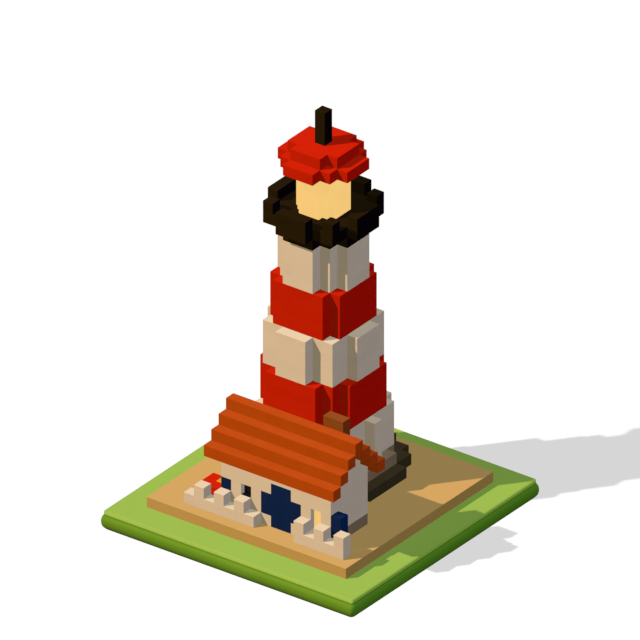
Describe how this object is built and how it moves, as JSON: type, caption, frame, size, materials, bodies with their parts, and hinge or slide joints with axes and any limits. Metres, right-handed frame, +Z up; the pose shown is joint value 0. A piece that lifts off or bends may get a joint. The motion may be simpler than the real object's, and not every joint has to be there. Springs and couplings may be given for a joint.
{
  "type": "block-built tabletop model of a striped lighthouse with a keeper's cottage",
  "caption": "Tabletop block model of a red and cream striped lighthouse with a gallery and lit lantern, an orange-roofed cottage and a crenellated fence, on a board and a moulded green base.",
  "frame": {"origin": "middle of the base's underside", "axes": "+Z up the tower, +X to the right along the front fence, +Y from the fence to the back of the board"},
  "size_m": [0.2548, 0.2548, 0.357],
  "materials": {
    "leaf_green": "smooth satin paint",
    "grass_green": "smooth matte paint",
    "tan_board": "smooth matte stain",
    "dark_stone": "matte paint",
    "warm_stone": "matte paint",
    "cream_paint": "matte paint",
    "red_paint": "matte paint",
    "orange_paint": "matte paint",
    "black_paint": "matte paint",
    "amber_glow": "translucent, lit from inside",
    "dark_pane": "dark and smooth",
    "navy_paint": "matte paint",
    "brown_paint": "matte paint",
    "yellow_paint": "matte paint"
  },
  "bodies": {
    "root": {"base_slab": "leaf_green", "chimney": "brown_paint", "corner_post_left": "navy_paint", "corner_post_right": "navy_paint", "cottage_back_wall": "cream_paint", "cottage_door": "navy_paint", "cottage_front_wall": "cream_paint", "cottage_gable_left": "cream_paint", "cottage_gable_right": "cream_paint", "fence_left": "cream_paint", "fence_right": "cream_paint", "flower_bed": "red_paint", "flower_heart": "yellow_paint", "gallery_corbel": "black_paint", "gallery_deck": "black_paint", "gallery_posts": "black_paint", "gallery_rail_back": "black_paint", "gallery_rail_front": "black_paint", "gallery_rail_left": "black_paint", "gallery_rail_right": "black_paint", "ground_board": "tan_board", "lantern_light": "amber_glow", "lantern_roof_lower": "red_paint", "lantern_roof_upper": "red_paint", "roof_back_1": "orange_paint", "roof_back_2": "orange_paint", "roof_back_3": "orange_paint", "roof_front_1": "orange_paint", "roof_front_2": "orange_paint", "roof_front_3": "orange_paint", "roof_mast": "black_paint", "roof_ridge": "orange_paint", "stone_course": "warm_stone", "tower_band_1": "cream_paint", "tower_band_2": "red_paint", "tower_band_3": "cream_paint", "tower_band_4": "red_paint", "tower_band_5": "cream_paint", "tower_footing": "dark_stone", "tower_plinth": "warm_stone", "turf_sheet": "grass_green", "window_box_left": "dark_pane", "window_pane_left": "dark_pane", "window_pane_right": "amber_glow"}
  },
  "joints": []
}
